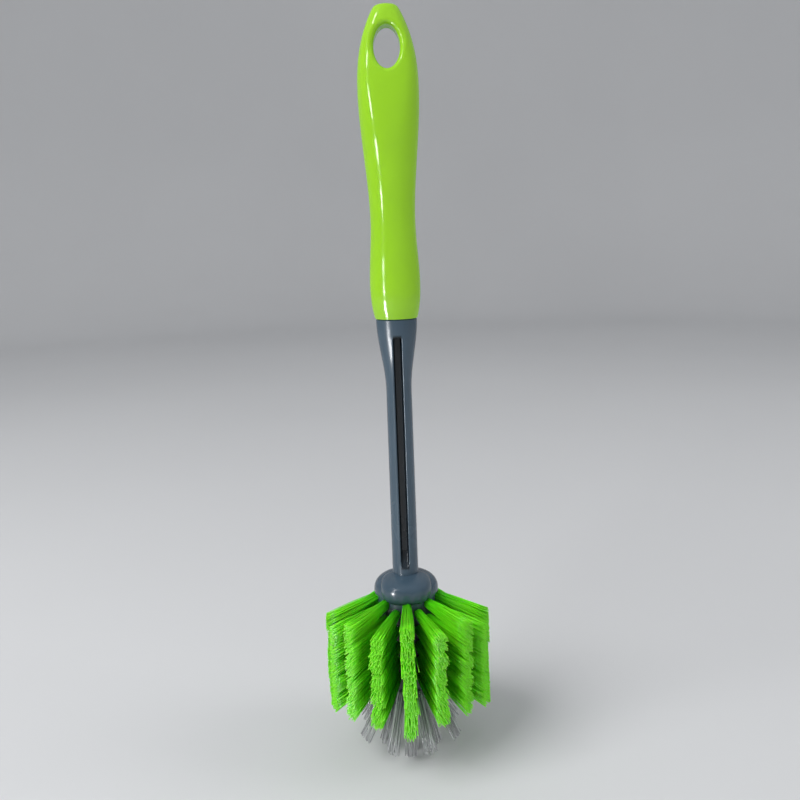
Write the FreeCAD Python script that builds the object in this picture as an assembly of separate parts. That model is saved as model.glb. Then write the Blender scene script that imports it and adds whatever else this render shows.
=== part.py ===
"""Dish brush: a glossy grip on a slate body moulding, whose drilled core holds folded tufts of bristle.

Millimetres. +Z runs up the handle from the lowest bristle tip at the origin, and the front faces -Y.
"""
import FreeCAD, Part
import math
import os

Vector = FreeCAD.Vector

# Driving dimensions: heights, stacked from the bristle tip to the top of the grip
tip_bristle_length = 21.5
core_length = 35.5
collar_height = 6.5
shaft_length = 82.0
grip_length = 89.5

# Driving dimensions: grip
grip_width = 18.0
grip_waist_width = 13.6
grip_bulge_width = 15.3
grip_mouth_width = 12.9
grip_depth_share = 0.82
hang_hole_width = 7.6
hang_hole_height = 12.1
hang_hole_drop = 12.0

# Driving dimensions: shaft, collar and core
shaft_width = 8.3
shaft_neck_width = 7.9
shaft_depth = 8.6
shaft_top_width = 12.5
groove_width = 2.5
groove_web = 2.4
collar_rim_diameter = 20.8
core_diameter = 18.6
core_dome_height = 5.5

# Driving dimensions: bristle
head_diameter = 53.8
row_pairs = 8
tufts_in_long_row = 6
tuft_hole_diameter = 2.9
tuft_tip_width = 4.3
row_slope_deg = 26.0
row_slope_swing_deg = 16.0
foot_slope_deg = 20.0

# Fits: the gap between pieces that seat in each other, and how far a cut runs past its piece
seat_clearance = 0.1
cut_overrun = 1.0

# Heights that the pieces share
core_end_z = tip_bristle_length
collar_rim_z = core_end_z + core_length
collar_top_z = collar_rim_z + collar_height
shaft_top_z = collar_top_z + shaft_length
grip_top_z = shaft_top_z + grip_length
core_radius = core_diameter / 2


# Drawing helpers
facing_share = 0.9


def outline_point(radius, z):
    return Vector(radius, 0, z)


def closed_face(points):
    return Part.Face(Part.makePolygon(points + points[:1]))


def turned(outline):
    """The solid that a face in the XZ plane sweeps round the brush axis."""
    return outline.revolve(Vector(0, 0, 0), Vector(0, 0, 1), 360)


def round_wire(points):
    """A smooth closed curve through points that go round the brush axis."""
    curve = Part.BSplineCurve()
    curve.interpolate(points, PeriodicFlag=True)
    return Part.Wire(curve.toShape())


def flat_faces(shape, facing):
    """The flat faces of a shape that look about the given way."""
    planes = [face for face in shape.Faces if isinstance(face.Surface, Part.Plane)]
    return [face for face in planes if face.normalAt(0, 0).dot(facing) > facing_share]


def rims(shape, facing):
    """The outer edges of the flat faces that look about the given way."""
    return [edge for face in flat_faces(shape, facing) for edge in face.OuterWire.Edges]


def opening_edges(face):
    """The edges round the openings in a face."""
    return [edge for wire in face.Wires if not wire.isSame(face.OuterWire) for edge in wire.Edges]


upward = Vector(0, 0, 1)
downward = Vector(0, 0, -1)
leftward = Vector(-1, 0, 0)
rightward = Vector(1, 0, 0)


# Tang: the barbed end of the body that is pushed into the grip
tang_diameter = 7.4
tang_tip_diameter = 6.4
tang_length = 46.0
barb_height = 0.5
barb_length = 4.0
barb_back_length = 0.8
barb_place_shares = (0.35, 0.72)


def tang_solid(grow):
    """The tang, or with its clearance as grow, the socket that it is pushed into."""

    def tang_radius(rise):
        taper = (tang_tip_diameter - tang_diameter) / 2
        return tang_diameter / 2 + taper * rise / tang_length + grow

    root_z = shaft_top_z - cut_overrun
    points = [outline_point(0, root_z), outline_point(tang_radius(0), root_z)]
    for share in barb_place_shares:
        rise = share * tang_length
        crest = rise + barb_back_length
        run_out = rise + barb_length
        points.append(outline_point(tang_radius(rise), shaft_top_z + rise))
        points.append(outline_point(tang_radius(crest) + barb_height, shaft_top_z + crest))
        points.append(outline_point(tang_radius(run_out), shaft_top_z + run_out))
    end_z = shaft_top_z + tang_length + grow
    points.append(outline_point(tang_radius(tang_length), end_z))
    points.append(outline_point(0, end_z))
    return turned(closed_face(points))


# Grip: a waisted moulding, drawn through ovals that flatten front and back towards the end that hangs
grip_bulge_share = 0.106
grip_waist_share = 0.297
grip_wide_drop = 23.0
shoulder_drop_shares = (0.5, 0.12)
shoulder_width_shares = (0.678, 0.44)
mouth_lean_share = 0.3
grip_steps = 36
grip_oval_steps = 24
grip_end_share = 0.96
hang_end_thickness = 6.8
hang_flat_length = 33.0
flat_blend_power = 6
hole_lip_round_share = 0.25


def grip_outline():
    points = [
        outline_point(grip_mouth_width / 2, shaft_top_z),
        outline_point(grip_bulge_width / 2, shaft_top_z + grip_bulge_share * grip_length),
        outline_point(grip_waist_width / 2, shaft_top_z + grip_waist_share * grip_length),
        outline_point(grip_width / 2, grip_top_z - grip_wide_drop),
    ]
    for width_share, drop_share in zip(shoulder_width_shares, shoulder_drop_shares):
        points.append(outline_point(width_share * grip_width / 2, grip_top_z - drop_share * hang_hole_drop))
    points.append(outline_point(0, grip_top_z))
    side = Part.BSplineCurve()
    side.interpolate(points, InitialTangent=Vector(mouth_lean_share, 0, 1), FinalTangent=Vector(-1, 0, 0))
    return side


def grip_section(radius, z):
    """An oval that two flats, one in front and one behind, press in where they reach it."""
    full_depth = grip_width * grip_depth_share
    drop_share = (grip_top_z - z) / hang_flat_length
    flat_y = (hang_end_thickness + (full_depth - hang_end_thickness) * drop_share) / 2
    points = []
    for step in range(grip_oval_steps):
        turn = 2 * math.pi * step / grip_oval_steps
        y = radius * grip_depth_share * math.sin(turn)
        y /= (1 + (y / flat_y) ** flat_blend_power) ** (1 / flat_blend_power)
        points.append(Vector(radius * math.cos(turn), y, z))
    return round_wire(points)


def grip_form():
    """The loft's sections crowd together towards the top, where the outline curves in."""
    side = grip_outline()
    sections = []
    for step in range(grip_steps + 1):
        way_share = math.sin(math.pi / 2 * grip_end_share * step / grip_steps)
        point = side.value(side.parameterAtDistance(way_share * side.length()))
        sections.append(grip_section(point.x, point.z))
    return Part.makeLoft(sections, True)


def hang_hole_cut():
    centre = Vector(0, -grip_width, grip_top_z - hang_hole_drop)
    high = centre + Vector(0, 0, hang_hole_height / 2)
    wide = centre + Vector(hang_hole_width / 2, 0, 0)
    oval = Part.Wire(Part.Ellipse(high, wide, centre).toShape())
    return Part.Face(oval).extrude(Vector(0, 2 * grip_width, 0))


def make_grip():
    grip = grip_form().cut(hang_hole_cut())
    skin = max(grip.Faces, key=lambda face: face.Area)
    lip_round = hole_lip_round_share * (grip_width - hang_hole_width) / 2
    grip = grip.makeFillet(lip_round, opening_edges(skin))
    return grip.cut(tang_solid(seat_clearance))


# Shaft: an oval rod that flares to meet the grip, grooved front and back down to a thin web
shaft_foot_embed = 3.0
shaft_steps = 24
shaft_oval_steps = 12
flare_length = 22.0
shaft_top_bevel = 0.4
groove_top_margin = 5.6
groove_foot_margin = 2.6
groove_ramp_length = 5.0
groove_corner_round = 0.7
groove_lip_round = 0.35


def shaft_section(z, width, depth):
    points = []
    for step in range(shaft_oval_steps):
        turn = 2 * math.pi * step / shaft_oval_steps
        points.append(Vector(width / 2 * math.cos(turn), depth / 2 * math.sin(turn), z))
    return round_wire(points)


def shaft_form():
    """The rod tapers up to its neck, and the flare above widens slowly, then fast, then slowly again."""
    foot_z = collar_top_z - shaft_foot_embed
    neck_z = shaft_top_z - flare_length
    bevel_z = shaft_top_z - shaft_top_bevel
    top_depth = shaft_top_width * grip_depth_share
    sections = []
    for step in range(shaft_steps + 1):
        z = foot_z + (bevel_z - foot_z) * step / shaft_steps
        taper = min((z - foot_z) / (neck_z - foot_z), 1)
        rise = max((z - neck_z) / (bevel_z - neck_z), 0)
        spread = rise * rise * (3 - 2 * rise)
        width = shaft_width + (shaft_neck_width - shaft_width) * taper
        width += (shaft_top_width - shaft_neck_width) * spread
        sections.append(shaft_section(z, width, shaft_depth + (top_depth - shaft_depth) * spread))
    crown_width = shaft_top_width - 2 * shaft_top_bevel
    crown = shaft_section(shaft_top_z, crown_width, top_depth - 2 * shaft_top_bevel)
    return Part.makeLoft(sections, True).fuse(Part.makeLoft([sections[-1], crown], True, True))


def groove_cut(side):
    """A groove with rounded corners and a ramped foot, in the front, side -1, or the back, side 1."""
    top_z = shaft_top_z - groove_top_margin
    foot_z = collar_top_z + groove_foot_margin
    floor_y = side * groove_web / 2
    face_y = side * shaft_depth / 2
    outer_y = side * shaft_top_width
    corners = [
        Vector(-groove_width / 2, floor_y, top_z),
        Vector(-groove_width / 2, floor_y, foot_z + groove_ramp_length),
        Vector(-groove_width / 2, face_y, foot_z),
        Vector(-groove_width / 2, outer_y, foot_z),
        Vector(-groove_width / 2, outer_y, top_z),
    ]
    cutter = closed_face(corners).extrude(Vector(groove_width, 0, 0))
    return cutter.makeFillet(groove_corner_round, rims(cutter, leftward) + rims(cutter, rightward))


def grooved_shaft():
    shaft = shaft_form().cut([groove_cut(-1), groove_cut(1)])
    skin = max(shaft.Faces, key=lambda face: face.Area)
    return shaft.makeFillet(groove_lip_round, opening_edges(skin))


# Collar: a round dome set back over the core, and a pillow shaped lobe that bulges out in front of the shaft
collar_dome_share = 0.88
collar_dome_steps = 10
collar_dome_setback = 1.0
lobe_width = 16.6
lobe_reach = 10.8
lobe_crest_reach = 1.0
lobe_back_reach = 4.0
lobe_rise = 0.2
lobe_overhang = 2.6
lobe_oval_steps = 24
lobe_steps = 8
lobe_end_share = 0.999
roundness_share = 0.74
lobe_foot_z = collar_rim_z - lobe_overhang
lobe_top_z = collar_top_z + lobe_rise


def fuller(share):
    """Draws a sine or cosine outwards, so that an oval becomes fuller at its shoulders."""
    return math.copysign(abs(share) ** roundness_share, share)


def collar_dome():
    height = collar_dome_share * collar_height
    points = []
    for step in range(collar_dome_steps):
        turn = math.pi / 2 * step / collar_dome_steps
        radius = collar_rim_diameter / 2 * fuller(math.cos(turn))
        points.append(outline_point(radius, collar_rim_z + height * fuller(math.sin(turn))))
    points.append(outline_point(0, collar_rim_z + height))
    profile = Part.BSplineCurve()
    profile.interpolate(points, InitialTangent=Vector(0, 0, 1), FinalTangent=Vector(-1, 0, 0))
    rest = Part.makePolygon([points[-1], outline_point(0, collar_rim_z), points[0]])
    dome = turned(Part.Face(Part.Wire([profile.toShape()] + rest.Edges)))
    return dome.translated(Vector(0, collar_dome_setback, 0))


def lobe_section(reach, reach_share):
    """An upright oval across the lobe, which shrinks towards the lobe's front and back ends."""
    middle_z = (lobe_top_z + lobe_foot_z) / 2
    swell = (1 - abs(reach_share) ** (2 / roundness_share)) ** (roundness_share / 2)
    points = []
    for step in range(lobe_oval_steps):
        turn = 2 * math.pi * step / lobe_oval_steps
        x = lobe_width / 2 * swell * fuller(math.cos(turn))
        z = middle_z + (lobe_top_z - middle_z) * swell * fuller(math.sin(turn))
        points.append(Vector(x, reach * reach_share - lobe_crest_reach, z))
    return round_wire(points)


def lobe_form():
    """The loft runs from front to back over the crest, and its sections crowd towards both ends."""
    sections = []
    for step in range(-lobe_steps, lobe_steps + 1):
        reach = lobe_reach - lobe_crest_reach if step < 0 else lobe_back_reach
        sections.append(lobe_section(reach, lobe_end_share * math.sin(math.pi / 2 * step / lobe_steps)))
    return Part.makeLoft(sections, True)


# Core: the round stem below the collar, domed at its end, with a heart that no hole reaches
core_heart_diameter = 12.0
core_embed = 1.0
dome_edge_z = core_end_z + core_dome_height
dome_radius = (core_radius ** 2 + core_dome_height ** 2) / (2 * core_dome_height)


def dome_z(radius):
    return core_end_z + dome_radius - math.sqrt(dome_radius ** 2 - radius ** 2)


def core_form():
    top_z = collar_rim_z + core_embed
    end = outline_point(0, core_end_z)
    edge = outline_point(core_radius, dome_edge_z)
    shoulder = outline_point(core_radius, top_z)
    crown = outline_point(0, top_z)
    dome = Part.Arc(end, outline_point(core_radius / 2, dome_z(core_radius / 2)), edge).toShape()
    wall = Part.makePolygon([edge, shoulder, crown, end])
    return turned(Part.Face(Part.Wire([dome] + wall.Edges)))


# Tuft seats: where each tuft leaves the core, with local X across, Y up and Z out along the tuft
row_count = 2 * row_pairs
row_foot_margin = 1.8
collar_clearance = 0.3
first_tuft_z = collar_rim_z - collar_clearance - tuft_hole_diameter / 2
last_tuft_z = dome_edge_z + row_foot_margin
tuft_pitch = (first_tuft_z - last_tuft_z) / (tufts_in_long_row - 1)
outer_ring_share = 0.75
inner_ring_share = 0.43
outer_lean_deg = 28.0
inner_lean_deg = 11.0


def seat(azimuth_deg, radius, z, fall_deg):
    """A seat at an azimuth from the front, for a tuft that points fall_deg below level."""
    azimuth = math.radians(azimuth_deg)
    fall = math.radians(fall_deg)
    radial = Vector(math.sin(azimuth), -math.cos(azimuth), 0)
    across = Vector(math.cos(azimuth), math.sin(azimuth), 0)
    outward = radial * math.cos(fall) + downward * math.sin(fall)
    turn = FreeCAD.Rotation(across, outward.cross(across), outward, "ZXY")
    return FreeCAD.Placement(radial * radius + upward * z, turn)


def row_heights(row):
    """Every second row stands half a pitch lower, so that the holes are staggered.

    It has one tuft less than a long row, and so has every fourth row, which ends one tuft higher.
    """
    lowered = row % 2
    short = lowered or row % 4 == 2
    count = tufts_in_long_row - 1 if short else tufts_in_long_row
    return [first_tuft_z - (place + lowered / 2) * tuft_pitch for place in range(count)]


def tuft_slope_deg(azimuth_deg, z):
    """Rows point down more and more from front to back, and a shallow row steepens towards its foot."""
    top_slope_deg = row_slope_deg - row_slope_swing_deg * math.cos(math.radians(azimuth_deg))
    share = (first_tuft_z - z) / (first_tuft_z - last_tuft_z)
    return top_slope_deg + max(foot_slope_deg - top_slope_deg, 0) * share


def ring_seats(count, first_deg, share, lean_deg):
    """A ring of seats on the dome, for tufts that lean outwards from the brush axis."""
    radius = share * core_radius
    seats = []
    for place in range(count):
        seats.append(seat(first_deg + 360 * place / count, radius, dome_z(radius), 90 - lean_deg))
    return seats


# Tufts: bundles folded over a flat wire anchor, which spread from the fold to the trimmed end
tuft_sides = 8
tuft_gap = 0.3
fit_reach = 1.2
tip_hole_depth = 3.6
tip_tuft_end_width = 4.2
tip_trim_radius = 18.0
anchor_height = 1.2
anchor_thickness = 0.4
flats_share = math.cos(math.pi / tuft_sides)


def tuft_solid(depth, length, end_width, end_height, trim_slope):
    """A bundle that fits its hole a little way past the mouth, z = 0, and straddles its anchor at the fold.

    Its sides spread evenly, and its end is trimmed in a plane that leans back by trim_slope.
    """
    width_share = end_width / end_height
    hole_height = (tuft_hole_diameter - seat_clearance) * flats_share / max(width_share, 1)
    spread = (end_height - hole_height) / (length - fit_reach)
    mouth_height = hole_height - spread * fit_reach

    def ring(z, slope):
        points = []
        for corner in range(tuft_sides):
            turn = 2 * math.pi * (corner + 0.5) / tuft_sides
            up_share = math.sin(turn) / flats_share / 2
            lean = up_share * math.tan(slope)
            corner_z = (z - mouth_height * lean) / (1 + spread * lean)
            height = mouth_height + spread * corner_z
            across = width_share * height * math.cos(turn) / flats_share / 2
            points.append(Vector(across, up_share * height, corner_z))
        return points

    fold = ring(-depth, 0)
    end = ring(length, trim_slope)
    faces = [closed_face(fold), closed_face(end)]
    for corner in range(tuft_sides):
        following = (corner + 1) % tuft_sides
        faces.append(closed_face([fold[corner], fold[following], end[following], end[corner]]))
    bundle = Part.Solid(Part.Shell(faces))
    slot_thickness = anchor_thickness + 2 * seat_clearance
    slot_depth = anchor_height + seat_clearance + cut_overrun
    corner = Vector(-tuft_hole_diameter, -slot_thickness / 2, -depth - cut_overrun)
    return bundle.cut(Part.makeBox(2 * tuft_hole_diameter, slot_thickness, slot_depth, corner))


def anchor_solid(depth):
    """A flat piece of wire that lies across the bottom of the hole."""
    width = (tuft_hole_diameter - seat_clearance) * flats_share
    corner = Vector(-width / 2, -anchor_thickness / 2, -depth)
    return Part.makeBox(width, anchor_thickness, anchor_height, corner)


def hole_cut(depth, slope):
    """A round hole that runs out past the wall of the core, which leans back from the hole by slope."""
    radius = tuft_hole_diameter / 2
    start = downward * (depth + seat_clearance)
    return Part.makeCylinder(radius, depth + seat_clearance + radius * math.tan(slope) + cut_overrun, start)


def tip_tuft_length(share, lean_deg):
    """How far a tip tuft runs along its lean before it meets the dome that the tip is trimmed to."""
    lean = math.radians(lean_deg)
    radius = share * core_radius
    drop = tip_trim_radius - dome_z(radius)
    along = radius * math.sin(lean) + drop * math.cos(lean)
    return math.sqrt(along ** 2 - radius ** 2 - drop ** 2 + tip_trim_radius ** 2) - along


def at_seats(shape, seats):
    copies = []
    for place in seats:
        copy = shape.copy()
        copy.Placement = place
        copies.append(copy)
    return copies


# Assembly: every group of tufts goes with its holes and its anchors
parts = {}
holes = []
row_anchors = []
for row in range(row_count):
    row_tufts = []
    azimuth_deg = 360 * row / row_count
    for z in row_heights(row):
        slope_deg = tuft_slope_deg(azimuth_deg, z)
        slope = math.radians(slope_deg)
        depth = (core_diameter - core_heart_diameter) / 2 / math.cos(slope)
        length = (head_diameter - core_diameter) / 2 / math.cos(slope)
        end_height = (tuft_pitch - tuft_gap) * math.cos(slope)
        seats = [seat(azimuth_deg, core_radius, z, slope_deg)]
        row_tufts += at_seats(tuft_solid(depth, length, tuft_tip_width, end_height, slope), seats)
        holes += at_seats(hole_cut(depth, slope), seats)
        row_anchors += at_seats(anchor_solid(depth), seats)
    parts["tuft_row_%02d" % (row + 1)] = Part.Compound(row_tufts)
parts["row_anchors"] = Part.Compound(row_anchors)

tip_groups = {
    "tip_tufts_outer": (row_pairs, 180 / row_pairs, outer_ring_share, outer_lean_deg),
    "tip_tufts_inner": (row_pairs // 2, 0, inner_ring_share, inner_lean_deg),
    "tip_tuft_centre": (1, 0, 0, 0),
}
tip_anchors = []
for name, (count, first_deg, share, lean_deg) in tip_groups.items():
    seats = ring_seats(count, first_deg, share, lean_deg)
    length = tip_tuft_length(share, lean_deg)
    tip_tuft = tuft_solid(tip_hole_depth, length, tip_tuft_end_width, tip_tuft_end_width, 0)
    parts[name] = Part.Compound(at_seats(tip_tuft, seats))
    holes += at_seats(hole_cut(tip_hole_depth, 0), seats)
    tip_anchors += at_seats(anchor_solid(tip_hole_depth), seats)
parts["tip_anchors"] = Part.Compound(tip_anchors)


def make_body():
    body = grooved_shaft().fuse([tang_solid(0), collar_dome(), lobe_form(), core_form()])
    return body.cut(holes)


parts["grip"] = make_grip()
parts["brush_body"] = make_body()

os.makedirs("parts", exist_ok=True)
for name, shape in parts.items():
    shape.exportStep("parts/" + name + ".step")
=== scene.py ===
"""Dish brush: a slate moulding tufted with green and clear bristle, pushed into a glossy lime grip.

Metres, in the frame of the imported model. +Z runs up the handle from the bristle tip.
The front faces -Y.
"""
import math
import random

import bmesh
import bpy
from mathutils import Matrix, Vector


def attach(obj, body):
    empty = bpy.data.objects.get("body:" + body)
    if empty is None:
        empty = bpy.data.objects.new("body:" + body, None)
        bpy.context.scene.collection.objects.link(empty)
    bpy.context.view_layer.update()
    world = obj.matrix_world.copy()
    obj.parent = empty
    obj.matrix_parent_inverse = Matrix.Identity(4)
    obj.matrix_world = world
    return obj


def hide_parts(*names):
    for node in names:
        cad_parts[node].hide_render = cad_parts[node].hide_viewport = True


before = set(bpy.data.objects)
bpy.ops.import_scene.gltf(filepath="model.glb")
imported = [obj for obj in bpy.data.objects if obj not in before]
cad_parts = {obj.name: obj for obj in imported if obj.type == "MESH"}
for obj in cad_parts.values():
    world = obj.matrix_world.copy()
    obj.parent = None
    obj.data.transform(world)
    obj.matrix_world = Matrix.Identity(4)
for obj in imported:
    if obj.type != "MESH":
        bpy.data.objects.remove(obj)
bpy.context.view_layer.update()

# Brush body: the shaft, the collar and the drilled core, one moulding of slate coloured polypropylene,
# fixed by a tang that is pushed into the grip. Its tool was blasted to a satin, so its gloss is soft and
# slightly uneven, and the colour runs a little paler where the melt flowed thin.
slate_dark = (0.041, 0.070, 0.099, 1.0)
slate_pale = (0.054, 0.091, 0.127, 1.0)
# slate_painted_shade is painted shade: the near black that darkens the deep groove of the shaft and the
# core between the tufts.
slate_painted_shade = (0.008, 0.015, 0.022, 1.0)
groove_half_width = 0.00125
groove_side_blur = 0.0001
groove_foot_z = 0.066
groove_top_z = 0.1402
groove_end_blur = 0.0006
tufted_top_z = 0.0538
tufted_blur = 0.002
slate_flow_scale = 45.0
slate_roughness_range = (0.22, 0.29)
slate_grain_scale = 3200.0
slate_grain_detail = 1.0
slate_grain_depth = 0.00002
slate_grain_strength = 0.5
cloud_low = 0.3
cloud_high = 0.7


def start_finish(name):
    """A new finish, its node tree and its shader."""
    finish = bpy.data.materials.new(name)
    finish.use_nodes = True
    tree = finish.node_tree
    return finish, tree, tree.nodes["Principled BSDF"]


def own_place(tree):
    """The piece's own coordinates."""
    return tree.nodes.new("ShaderNodeTexCoord").outputs["Object"]


def cloud(tree, place, scale, detail=3.0):
    """A soft cloudy pattern, from 0 to 1."""
    noise = tree.nodes.new("ShaderNodeTexNoise")
    noise.inputs["Scale"].default_value = scale
    noise.inputs["Detail"].default_value = detail
    tree.links.new(place, noise.inputs["Vector"])
    return noise.outputs["Fac"]


def ramp(tree, pattern, *stops):
    """Turns a pattern into colours, each stop a place and a colour."""
    colours = tree.nodes.new("ShaderNodeValToRGB")
    for extra in stops[2:]:
        colours.color_ramp.elements.new(extra[0])
    for element, (spot, colour) in zip(colours.color_ramp.elements, stops):
        element.position = spot
        element.color = colour
    tree.links.new(pattern, colours.inputs["Fac"])
    return colours.outputs["Color"]


def spread(tree, pattern, low, high):
    """Turns a cloudy pattern into a value between low and high."""
    values = tree.nodes.new("ShaderNodeMapRange")
    values.inputs["From Min"].default_value = cloud_low
    values.inputs["From Max"].default_value = cloud_high
    values.inputs["To Min"].default_value = low
    values.inputs["To Max"].default_value = high
    tree.links.new(pattern, values.inputs["Value"])
    return values.outputs["Result"]


def roughen(tree, shader, pattern, depth, strength):
    """Raises a pattern on the surface by a small depth."""
    bump = tree.nodes.new("ShaderNodeBump")
    bump.inputs["Strength"].default_value = strength
    bump.inputs["Distance"].default_value = depth
    tree.links.new(pattern, bump.inputs["Height"])
    tree.links.new(bump.outputs["Normal"], shader.inputs["Normal"])


def dress(node, finish):
    """Gives a CAD node its finish."""
    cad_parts[node].data.materials.clear()
    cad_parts[node].data.materials.append(finish)


def between(tree, value, low, high, blur):
    """1 where a value lies between low and high, falling to 0 over a blurred edge outside them."""
    inside = tree.nodes.new("ShaderNodeMath")
    inside.operation = "MULTIPLY"
    for side, (outer, inner) in enumerate(((low - blur, low), (high + blur, high))):
        edge = tree.nodes.new("ShaderNodeMapRange")
        edge.inputs["From Min"].default_value = outer
        edge.inputs["From Max"].default_value = inner
        tree.links.new(value, edge.inputs["Value"])
        tree.links.new(edge.outputs["Result"], inside.inputs[side])
    return inside.outputs["Value"]


slate, tree, shader = start_finish("slate_satin")
place = own_place(tree)
flow = cloud(tree, place, slate_flow_scale)
axes = tree.nodes.new("ShaderNodeSeparateXYZ")
tree.links.new(place, axes.inputs["Vector"])
across_groove = between(tree, axes.outputs["X"], -groove_half_width, groove_half_width, groove_side_blur)
along_groove = between(tree, axes.outputs["Z"], groove_foot_z, groove_top_z, groove_end_blur)
# Painted shade: the slate is darkened inside the deep groove and on the core below the collar, between
# the tufts, where shade falls.
groove = tree.nodes.new("ShaderNodeMath")
groove.operation = "MULTIPLY"
tree.links.new(across_groove, groove.inputs[0])
tree.links.new(along_groove, groove.inputs[1])
shade = tree.nodes.new("ShaderNodeMath")
shade.operation = "MAXIMUM"
tree.links.new(groove.outputs["Value"], shade.inputs[0])
tree.links.new(between(tree, axes.outputs["Z"], 0, tufted_top_z, tufted_blur), shade.inputs[1])
tone = tree.nodes.new("ShaderNodeMix")
tone.data_type = "RGBA"
tree.links.new(shade.outputs["Value"], tone.inputs["Factor"])
tree.links.new(ramp(tree, flow, (cloud_low, slate_dark), (cloud_high, slate_pale)), tone.inputs["A"])
tone.inputs["B"].default_value = slate_painted_shade
tree.links.new(tone.outputs["Result"], shader.inputs["Base Color"])
tree.links.new(spread(tree, flow, *slate_roughness_range), shader.inputs["Roughness"])
grain = cloud(tree, place, slate_grain_scale, slate_grain_detail)
roughen(tree, shader, grain, slate_grain_depth, slate_grain_strength)
dress("brush_body", slate)

# Wire anchors: short bits of flat galvanised wire that the tufting machine drives across the fold of
# each tuft. They bite into the wall of the hole and sit at its bottom, out of sight.
wire_dull = (0.42, 0.43, 0.44, 1.0)
wire_bright = (0.62, 0.63, 0.64, 1.0)
wire_dull_share = 0.35
wire_bright_share = 0.65
wire_drawing_scale = 900.0
wire_roughness_range = (0.25, 0.4)

wire, tree, shader = start_finish("anchor_wire")
drawing = cloud(tree, own_place(tree), wire_drawing_scale)
wire_ramp = ramp(tree, drawing, (wire_dull_share, wire_dull), (wire_bright_share, wire_bright))
tree.links.new(wire_ramp, shader.inputs["Base Color"])
tree.links.new(spread(tree, drawing, *wire_roughness_range), shader.inputs["Roughness"])
shader.inputs["Metallic"].default_value = 1.0
dress("row_anchors", wire)
dress("tip_anchors", wire)

# Green bristle: sixteen upright rows of tufts round the core. Each tuft is a bundle of drawn plastic
# strands, folded over its anchor, that fans out from its hole and is trimmed to the round of the head.
core_radius = 0.0093
row_count = 16
holes_in_long_row = 6
first_hole_z = 0.05525
last_hole_z = 0.0288
hole_pitch = (first_hole_z - last_hole_z) / (holes_in_long_row - 1)
row_slope_deg = 28.0
row_slope_swing_deg = 20.0
back_slope_deg = 42.0
foot_slope_deg = 20.0
foot_slope_swing_deg = 6.0
droop_deg = 4.0
droop_share = 1.35
hole_radius = 0.00145
hole_depth = 0.0030
row_trim_radius = 0.0268
row_tuft_width = 0.0040
row_tuft_height = 0.0057
row_trim_wander = 0.0003
strands_in_row_tuft = 140
strand_radius = 0.000115
row_strand_thickness = 1.0
strand_sides = 5
strand_rings = 4
strand_columns = 48
root_share = 0.15
middle_share = 0.5
cut_share = 0.97
# Along each strand the green runs from a darker root to the strand's own green. The tip is painted a
# little limier, as painted light, and the cut end brighter still, as a painted glow of light carried to
# the end.
green_root = (0.08, 0.82, 0.005, 1.0)
green_strand = (0.18, 0.97, 0.010, 1.0)
green_tip_painted_light = (0.23, 0.98, 0.014, 1.0)
green_cut_painted_glow = (0.34, 0.99, 0.05, 1.0)
green_tint_range = (0.82, 1.06)
row_limpness = 0.0008
row_squareness = 0.7
turn_wander = 0.4
fan_power = 0.8
tuft_wander = 0.015
strand_wander = 0.012
stray_share = 0.05
stray_chance = 0.03
golden_turn = math.pi * (3 - math.sqrt(5))
dice = random.Random(5)


def straight_strand():
    """One strand of unit length along +Z, with a map that runs round it and up it to its cut end."""
    strand = bmesh.new()
    bmesh.ops.create_circle(strand, cap_ends=True, segments=strand_sides, radius=strand_radius)
    end = strand.faces[:]
    for ring in range(strand_rings):
        grown = bmesh.ops.extrude_face_region(strand, geom=end)
        end = [part for part in grown["geom"] if isinstance(part, bmesh.types.BMFace)]
        risen = [part for part in grown["geom"] if isinstance(part, bmesh.types.BMVert)]
        bmesh.ops.translate(strand, verts=risen, vec=(0, 0, 1 / strand_rings))
    bmesh.ops.recalc_face_normals(strand, faces=strand.faces)
    chart = strand.loops.layers.uv.new("OFBake")
    for face in strand.faces:
        middle = face.calc_center_median()
        face.smooth = len(face.verts) == 4
        facing = math.atan2(middle.y, middle.x)
        for loop in face.loops:
            spot = loop.vert.co
            if face.smooth:
                turn = (math.atan2(spot.y, spot.x) - facing + math.pi) % (2 * math.pi) - math.pi
                across = (facing + turn) / (2 * math.pi) + 0.5
                along = spot.z * cut_share
            else:
                across = 0.5 + spot.x / strand_radius / 2
                along = round(middle.z) * cut_share + (1 + spot.y / strand_radius) * (1 - cut_share) / 2
            loop[chart].uv = across, along
    mesh = bpy.data.meshes.new("straight_strand")
    strand.to_mesh(mesh)
    strand.free()
    return mesh


def tuft_seat(azimuth, radius, z, fall):
    """Where a tuft leaves the core: X across, Y up and Z out along the tuft, fall below level."""
    radial = Vector((math.sin(azimuth), -math.cos(azimuth), 0))
    across = Vector((math.cos(azimuth), math.sin(azimuth), 0))
    outward = radial * math.cos(fall) - Vector((0, 0, math.sin(fall)))
    turn = Matrix((across, outward.cross(across), outward)).transposed().to_4x4()
    return Matrix.Translation(radial * radius + Vector((0, 0, z))) @ turn


def trimmed_length(start, outward, trim_radius):
    """How far a strand runs from its start before it meets a round about the origin."""
    along = start.dot(outward)
    square = outward.length_squared
    return (math.sqrt(along ** 2 - square * (start.length_squared - trim_radius ** 2)) - along) / square


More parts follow.
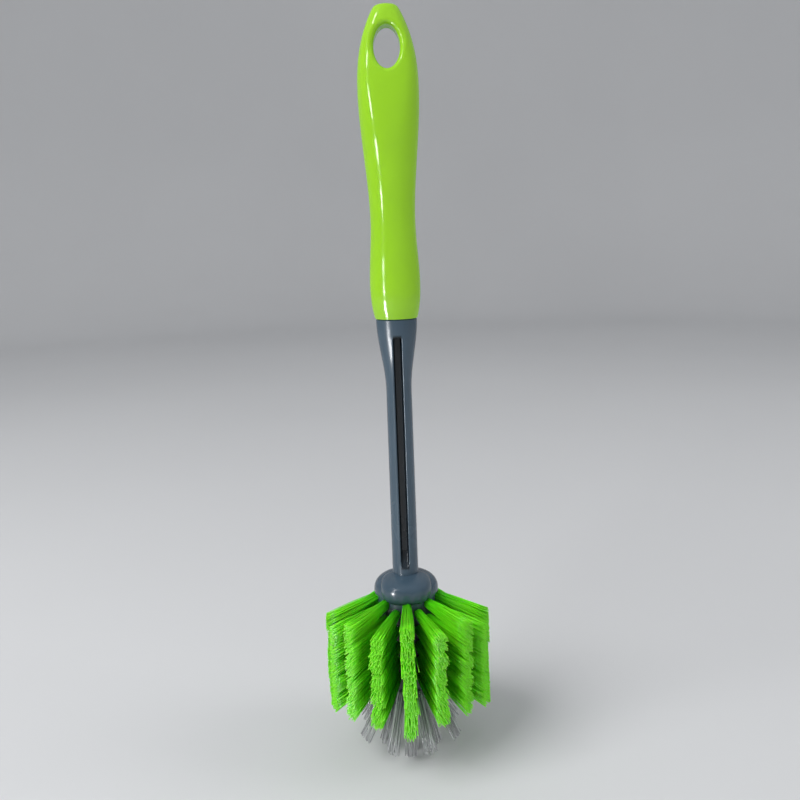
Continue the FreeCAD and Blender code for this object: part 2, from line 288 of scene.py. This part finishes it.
def tuft_strands(seat, count, width, height, length_to_trim, limpness, squareness):
    """The strands of one tuft, each as its seat, its mouth in the hole, its trimmed end and its curl.

    length_to_trim gives how far a strand runs from its start, along its way out, to the trim.
    """
    lean = Vector((dice.gauss(0, tuft_wander), dice.gauss(0, tuft_wander), 0))
    strands = []
    for number in range(count):
        reach = math.sqrt((number + 0.5) / count)
        turn = number * golden_turn + dice.uniform(-turn_wander, turn_wander)
        foot = Vector((math.cos(turn), math.sin(turn), 0)) * reach
        mouth = foot * (hole_radius - strand_radius)
        square = max(abs(math.cos(turn)), abs(math.sin(turn))) ** -squareness
        fan = Vector((foot.x * width / 2, foot.y * height / 2, 0)) * square - mouth
        stray = stray_share if dice.random() < stray_chance else strand_wander
        way = Vector((0, 0, 1)) + lean + Vector((dice.gauss(0, stray), dice.gauss(0, stray), 0))
        start = seat @ (mouth + fan)
        outward = seat.to_3x3() @ way
        length = length_to_trim(start, outward)
        curl = Vector((dice.gauss(0, limpness), dice.gauss(0, limpness), 0))
        strands.append((seat, mouth, mouth + fan + way * length, curl))
    return strands


def bristle_piece(name, strands, thickness, finish, node):
    """One piece of bristle, made of bent copies of the straight strand, that stands for a CAD node."""
    bundle = bmesh.new()
    for strand in strands:
        bundle.from_mesh(straight)
    bundle.verts.ensure_lookup_table()
    corners = len(straight.vertices)
    for number, (seat, mouth, end, curl) in enumerate(strands):
        for vert in bundle.verts[number * corners:(number + 1) * corners]:
            rise = vert.co.z * (end.z + hole_depth) - hole_depth
            share = max(rise / end.z, 0)
            way = mouth.lerp(Vector((end.x, end.y, 0)), share ** fan_power) + curl * share * (1 - share)
            vert.co = seat @ Vector((way.x + vert.co.x * thickness, way.y + vert.co.y * thickness, rise))
    chart = bundle.loops.layers.uv["OFBake"]
    bundle.faces.ensure_lookup_table()
    sides = len(straight.polygons)
    for number in range(len(strands)):
        column = dice.randrange(strand_columns)
        for face in bundle.faces[number * sides:(number + 1) * sides]:
            for loop in face.loops:
                loop[chart].uv.x = (column + loop[chart].uv.x) / strand_columns
    mesh = bpy.data.meshes.new(name)
    bundle.to_mesh(mesh)
    bundle.free()
    mesh.materials.append(finish)
    piece = bpy.data.objects.new(name, mesh)
    bpy.context.scene.collection.objects.link(piece)
    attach(piece, "root")
    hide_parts(node)


def strand_map(tree):
    """The strand's own map: which column of strands it belongs to, and how far up the strand."""
    chart = tree.nodes.new("ShaderNodeUVMap")
    chart.uv_map = "OFBake"
    parts = tree.nodes.new("ShaderNodeSeparateXYZ")
    tree.links.new(chart.outputs["UV"], parts.inputs["Vector"])
    return parts.outputs["X"], parts.outputs["Y"]


def column_tint(tree, column):
    """A value from 0 to 1 that is the same all along a strand and differs from strand to strand."""
    count = tree.nodes.new("ShaderNodeMath")
    count.operation = "MULTIPLY"
    count.inputs[1].default_value = strand_columns
    whole = tree.nodes.new("ShaderNodeMath")
    whole.operation = "FLOOR"
    tint = tree.nodes.new("ShaderNodeTexWhiteNoise")
    tint.noise_dimensions = "1D"
    tree.links.new(column, count.inputs[0])
    tree.links.new(count.outputs["Value"], whole.inputs[0])
    tree.links.new(whole.outputs["Value"], tint.inputs["W"])
    return tint.outputs["Value"]


def shaded(tree, colour, tint, low, high):
    """A colour made darker or lighter by a tint."""
    light = tree.nodes.new("ShaderNodeMapRange")
    light.inputs["To Min"].default_value = low
    light.inputs["To Max"].default_value = high
    mix = tree.nodes.new("ShaderNodeMix")
    mix.data_type = "RGBA"
    mix.blend_type = "MULTIPLY"
    mix.inputs["Factor"].default_value = 1.0
    tree.links.new(tint, light.inputs["Value"])
    tree.links.new(colour, mix.inputs["A"])
    tree.links.new(light.outputs["Result"], mix.inputs["B"])
    return mix.outputs["Result"]


def row_fall(azimuth, z):
    """How far below level a tuft points: more from front to back, and in front more towards the foot."""
    top_deg = min(row_slope_deg - row_slope_swing_deg * math.cos(azimuth), back_slope_deg)
    foot_deg = foot_slope_deg + foot_slope_swing_deg * (1 - math.cos(azimuth))
    share = (first_hole_z - z) / (first_hole_z - last_hole_z)
    return math.radians(top_deg + max(foot_deg - top_deg, 0) * share)


straight = straight_strand()
green, tree, shader = start_finish("bristle_green")
column, along = strand_map(tree)
# The ramp carries painted light: a limier tip and a brighter, glowing cut end.
green_ramp = ramp(
    tree, along, (root_share, green_root), (middle_share, green_strand), (cut_share, green_tip_painted_light),
    (1.0, green_cut_painted_glow))
green_tint = shaded(tree, green_ramp, column_tint(tree, column), *green_tint_range)
tree.links.new(green_tint, shader.inputs["Base Color"])
shader.inputs["Roughness"].default_value = 0.34
shader.inputs["Subsurface Weight"].default_value = 0.7
shader.inputs["Subsurface Radius"].default_value = (1.0, 1.0, 1.0)
shader.inputs["Subsurface Scale"].default_value = 0.0004

for row in range(row_count):
    azimuth = 2 * math.pi * row / row_count
    lowered = row % 2
    drooping = row % 4 == 2
    strands = []
    holes = holes_in_long_row - 1 if lowered or drooping else holes_in_long_row
    for hole in range(holes):
        z = first_hole_z - (hole + lowered / 2) * hole_pitch
        fall = row_fall(azimuth, z)
        height = row_tuft_height * math.cos(fall)
        if drooping and hole == holes - 1:
            fall += math.radians(droop_deg)
            height *= droop_share
        trim_radius = row_trim_radius - abs(dice.gauss(0, row_trim_wander))

        def length_to_trim(start, outward):
            radius = trim_radius - abs(dice.gauss(0, row_trim_wander))
            return trimmed_length(start * Vector((1, 1, 0)), outward * Vector((1, 1, 0)), radius)

        seat = tuft_seat(azimuth, core_radius, z, fall)
        width = min(row_tuft_width, height)
        strands += tuft_strands(
            seat, strands_in_row_tuft, width, height, length_to_trim, row_limpness, row_squareness)
    number = "%02d" % (row + 1)
    bristle_piece(
        "bristle_row_" + number, strands, row_strand_thickness, green, "tuft_row_" + number)

# Clear bristle: the tufts on the domed end of the core, of uncoloured strand, held by anchors too. They
# lean outwards from the middle one and are trimmed to a dome, so that the brush reaches into a corner.
# A ring of tufts: its CAD node, count, first azimuth, radius, height, lean and trimmed radius.
tip_rings = (
    ("tip_tufts_outer", 8, 22.5, 0.006975, 0.02411, 31.0, 0.0195),
    ("tip_tufts_inner", 4, 0.0, 0.0040, 0.02228, 11.0, 0.0179),
    ("tip_tuft_centre", 1, 0.0, 0.0, 0.0215, 0.0, 0.0179),
)
tip_trim_centre = Vector((0, 0, 0.018))
tip_trim_wander = 0.0004
tip_tuft_width = 0.0042
tip_width_shares = (0.7, 1.15)
tip_limpness = 0.0012
tip_squareness = 0.0
tip_strand_thickness = 1.3
strands_in_tip_tuft = 28
tip_root_share = 0.1
clear_root = (0.74, 0.78, 0.80, 1.0)
clear_strand = (0.90, 0.92, 0.93, 1.0)
# clear_cut_painted_glow is a painted glow: the cut end is painted brighter for light the strand carries
# to its end.
clear_cut_painted_glow = (0.98, 0.98, 0.97, 1.0)
clear_tint_range = (0.42, 1.04)

clear, tree, shader = start_finish("bristle_clear")
column, along = strand_map(tree)
clear_ramp = ramp(
    tree, along, (tip_root_share, clear_root), (middle_share, clear_strand), (cut_share, clear_strand),
    (1.0, clear_cut_painted_glow))
clear_tint = shaded(tree, clear_ramp, column_tint(tree, column), *clear_tint_range)
tree.links.new(clear_tint, shader.inputs["Base Color"])
shader.inputs["Roughness"].default_value = 0.12
shader.inputs["Transmission Weight"].default_value = 0.3
shader.inputs["IOR"].default_value = 1.49

for node, count, first_deg, radius, z, lean_deg, trim_radius in tip_rings:
    strands = []
    for tuft in range(count):
        azimuth = math.radians(first_deg) + 2 * math.pi * tuft / count
        seat = tuft_seat(azimuth, radius, z, math.radians(90 - lean_deg))

        def length_to_trim(start, outward):
            length = trim_radius - abs(dice.gauss(0, tip_trim_wander))
            return trimmed_length(start - tip_trim_centre, outward, length)

        width = tip_tuft_width * dice.uniform(*tip_width_shares)
        strands += tuft_strands(
            seat, strands_in_tip_tuft, width, width, length_to_trim, tip_limpness, tip_squareness)
    name = node.replace("tuft", "bristle")
    bristle_piece(name, strands, tip_strand_thickness, clear, node)

# Grip: one moulding of bright lime plastic, whose socket is pushed over the barbs of the body's tang. Its
# tool was polished, so it shines, and the skin waves a little where the thick wall sank as it cooled.
lime_deep = (0.270, 0.570, 0.014, 1.0)
lime_bright = (0.310, 0.630, 0.018, 1.0)
lime_cloud_scale = 25.0
lime_roughness_range = (0.09, 0.14)
lime_band_scale = (0.3, 0.3, 1.0)
lime_wave_scale = 90.0
lime_wave_detail = 0.0
lime_wave_depth = 0.0007
lime_wave_strength = 1.0

lime, tree, shader = start_finish("lime_gloss")
place = own_place(tree)
melt = cloud(tree, place, lime_cloud_scale)
lime_ramp = ramp(tree, melt, (cloud_low, lime_deep), (cloud_high, lime_bright))
tree.links.new(lime_ramp, shader.inputs["Base Color"])
tree.links.new(spread(tree, melt, *lime_roughness_range), shader.inputs["Roughness"])
bands = tree.nodes.new("ShaderNodeMapping")
bands.inputs["Scale"].default_value = lime_band_scale
tree.links.new(place, bands.inputs["Vector"])
waves = cloud(tree, bands.outputs["Vector"], lime_wave_scale, lime_wave_detail)
roughen(tree, shader, waves, lime_wave_depth, lime_wave_strength)
dress("grip", lime)

# Studio: a pale floor that sweeps up into a round wall, a soft skylight on the left, a weaker one on the
# right, and a window of four panes and a low pane that only the gloss mirrors. The brush stands on its
# clear bristle, and the camera looks at it from the front and above.
floor_pale = (0.66, 0.665, 0.675, 1.0)
floor_dim = (0.63, 0.635, 0.645, 1.0)
floor_cloud_scale = 2.0
floor_radius = 1.3
sweep_radius = 0.4
sweep_steps = 12
wall_height = 0.9
wall_sides = 72
weld_distance = 0.00001
air_colour = (0.95, 0.97, 1.0, 1.0)
air_strength = 0.45
window_panes = 4
first_pane_deg = -4
pane_step_deg = 16

paving = bmesh.new()
edge = [paving.verts.new((0, 0, 0)), paving.verts.new((floor_radius, 0, 0))]
paving.edges.new(edge)
bmesh.ops.spin(
    paving, geom=edge[1:], cent=(floor_radius, 0, sweep_radius), axis=(0, -1, 0), dvec=(0, 0, 0),
    angle=math.pi / 2, steps=sweep_steps, use_merge=False, use_duplicate=False)
paving.verts.ensure_lookup_table()
top = max(paving.verts, key=lambda vert: vert.co.z)
raised = bmesh.ops.extrude_vert_indiv(paving, verts=[top])["verts"]
bmesh.ops.translate(paving, verts=raised, vec=(0, 0, wall_height))
bmesh.ops.spin(
    paving, geom=paving.verts[:] + paving.edges[:], cent=(0, 0, 0), axis=(0, 0, 1), dvec=(0, 0, 0),
    angle=2 * math.pi, steps=wall_sides, use_merge=True, use_duplicate=False)
bmesh.ops.remove_doubles(paving, verts=paving.verts, dist=weld_distance)
bmesh.ops.recalc_face_normals(paving, faces=paving.faces)
for face in paving.faces:
    face.smooth = True
floor_mesh = bpy.data.meshes.new("studio_floor")
paving.to_mesh(floor_mesh)
paving.free()
floor = bpy.data.objects.new("studio_floor", floor_mesh)
bpy.context.scene.collection.objects.link(floor)
paper, tree, shader = start_finish("studio_paper")
pulp = cloud(tree, own_place(tree), floor_cloud_scale)
paper_ramp = ramp(tree, pulp, (cloud_low, floor_dim), (cloud_high, floor_pale))
tree.links.new(paper_ramp, shader.inputs["Base Color"])
shader.inputs["Roughness"].default_value = 0.7
shader.inputs["Specular IOR Level"].default_value = 0.0
floor_mesh.materials.append(paper)

air = bpy.data.worlds.new("studio_air")
air.use_nodes = True
air.node_tree.nodes["Background"].inputs["Color"].default_value = air_colour
air.node_tree.nodes["Background"].inputs["Strength"].default_value = air_strength
bpy.context.scene.world = air


def add_lamp(name, aim_z, azimuth_deg, elevation_deg, distance, width, height, power, lights, mirrored):
    """A soft lamp, aimed at a height on the brush, that lights it or is mirrored in its gloss."""
    lamp = bpy.data.lights.new(name, "AREA")
    lamp.shape = "RECTANGLE"
    lamp.size = width
    lamp.size_y = height
    lamp.energy = power
    stand = bpy.data.objects.new(name, lamp)
    azimuth, elevation = math.radians(azimuth_deg), math.radians(elevation_deg)
    level = Vector((math.sin(azimuth), -math.cos(azimuth), 0))
    back = level * math.cos(elevation) + Vector((0, 0, math.sin(elevation)))
    turn = back.to_track_quat("Z", "Y").to_matrix().to_4x4()
    stand.matrix_world = Matrix.Translation(Vector((0, 0, aim_z)) + back * distance) @ turn
    stand.visible_camera = False
    stand.visible_diffuse = lights
    stand.visible_glossy = mirrored
    bpy.context.scene.collection.objects.link(stand)


for pane in range(window_panes):
    add_lamp(
        "window_pane_%d" % (pane + 1), aim_z=0.17, azimuth_deg=-44,
        elevation_deg=first_pane_deg + pane_step_deg * pane, distance=0.9, width=0.10, height=0.11,
        power=0.9, lights=False, mirrored=True)
add_lamp(
    "skylight", aim_z=0.08, azimuth_deg=-50, elevation_deg=42, distance=1.1, width=0.7, height=0.7,
    power=11.0, lights=True, mirrored=False)
add_lamp(
    "low_pane", aim_z=0.05, azimuth_deg=-44, elevation_deg=0, distance=0.25, width=0.03, height=0.09,
    power=0.5, lights=False, mirrored=True)
add_lamp(
    "bounce", aim_z=0.06, azimuth_deg=80, elevation_deg=30, distance=1.1, width=0.5, height=0.6,
    power=2.8, lights=True, mirrored=False)

camera_place = Vector((0, -0.2625, 0.1719))
camera_down_deg = 11.2
camera_yaw_deg = 0.043
camera_roll_deg = 2.07
camera = bpy.data.cameras.new("photo_view")
camera.lens = 38.75
camera.sensor_width = 36.0
camera.clip_start = 0.01
camera.dof.use_dof = False
tripod = bpy.data.objects.new("photo_view", camera)
tripod.matrix_world = (
    Matrix.Translation(camera_place)
    @ Matrix.Rotation(math.radians(-camera_yaw_deg), 4, "Z")
    @ Matrix.Rotation(math.radians(90 - camera_down_deg), 4, "X")
    @ Matrix.Rotation(math.radians(-camera_roll_deg), 4, "Z")
)
bpy.context.scene.collection.objects.link(tripod)
bpy.context.scene.camera = tripod
bpy.context.scene.view_settings.view_transform = "Standard"
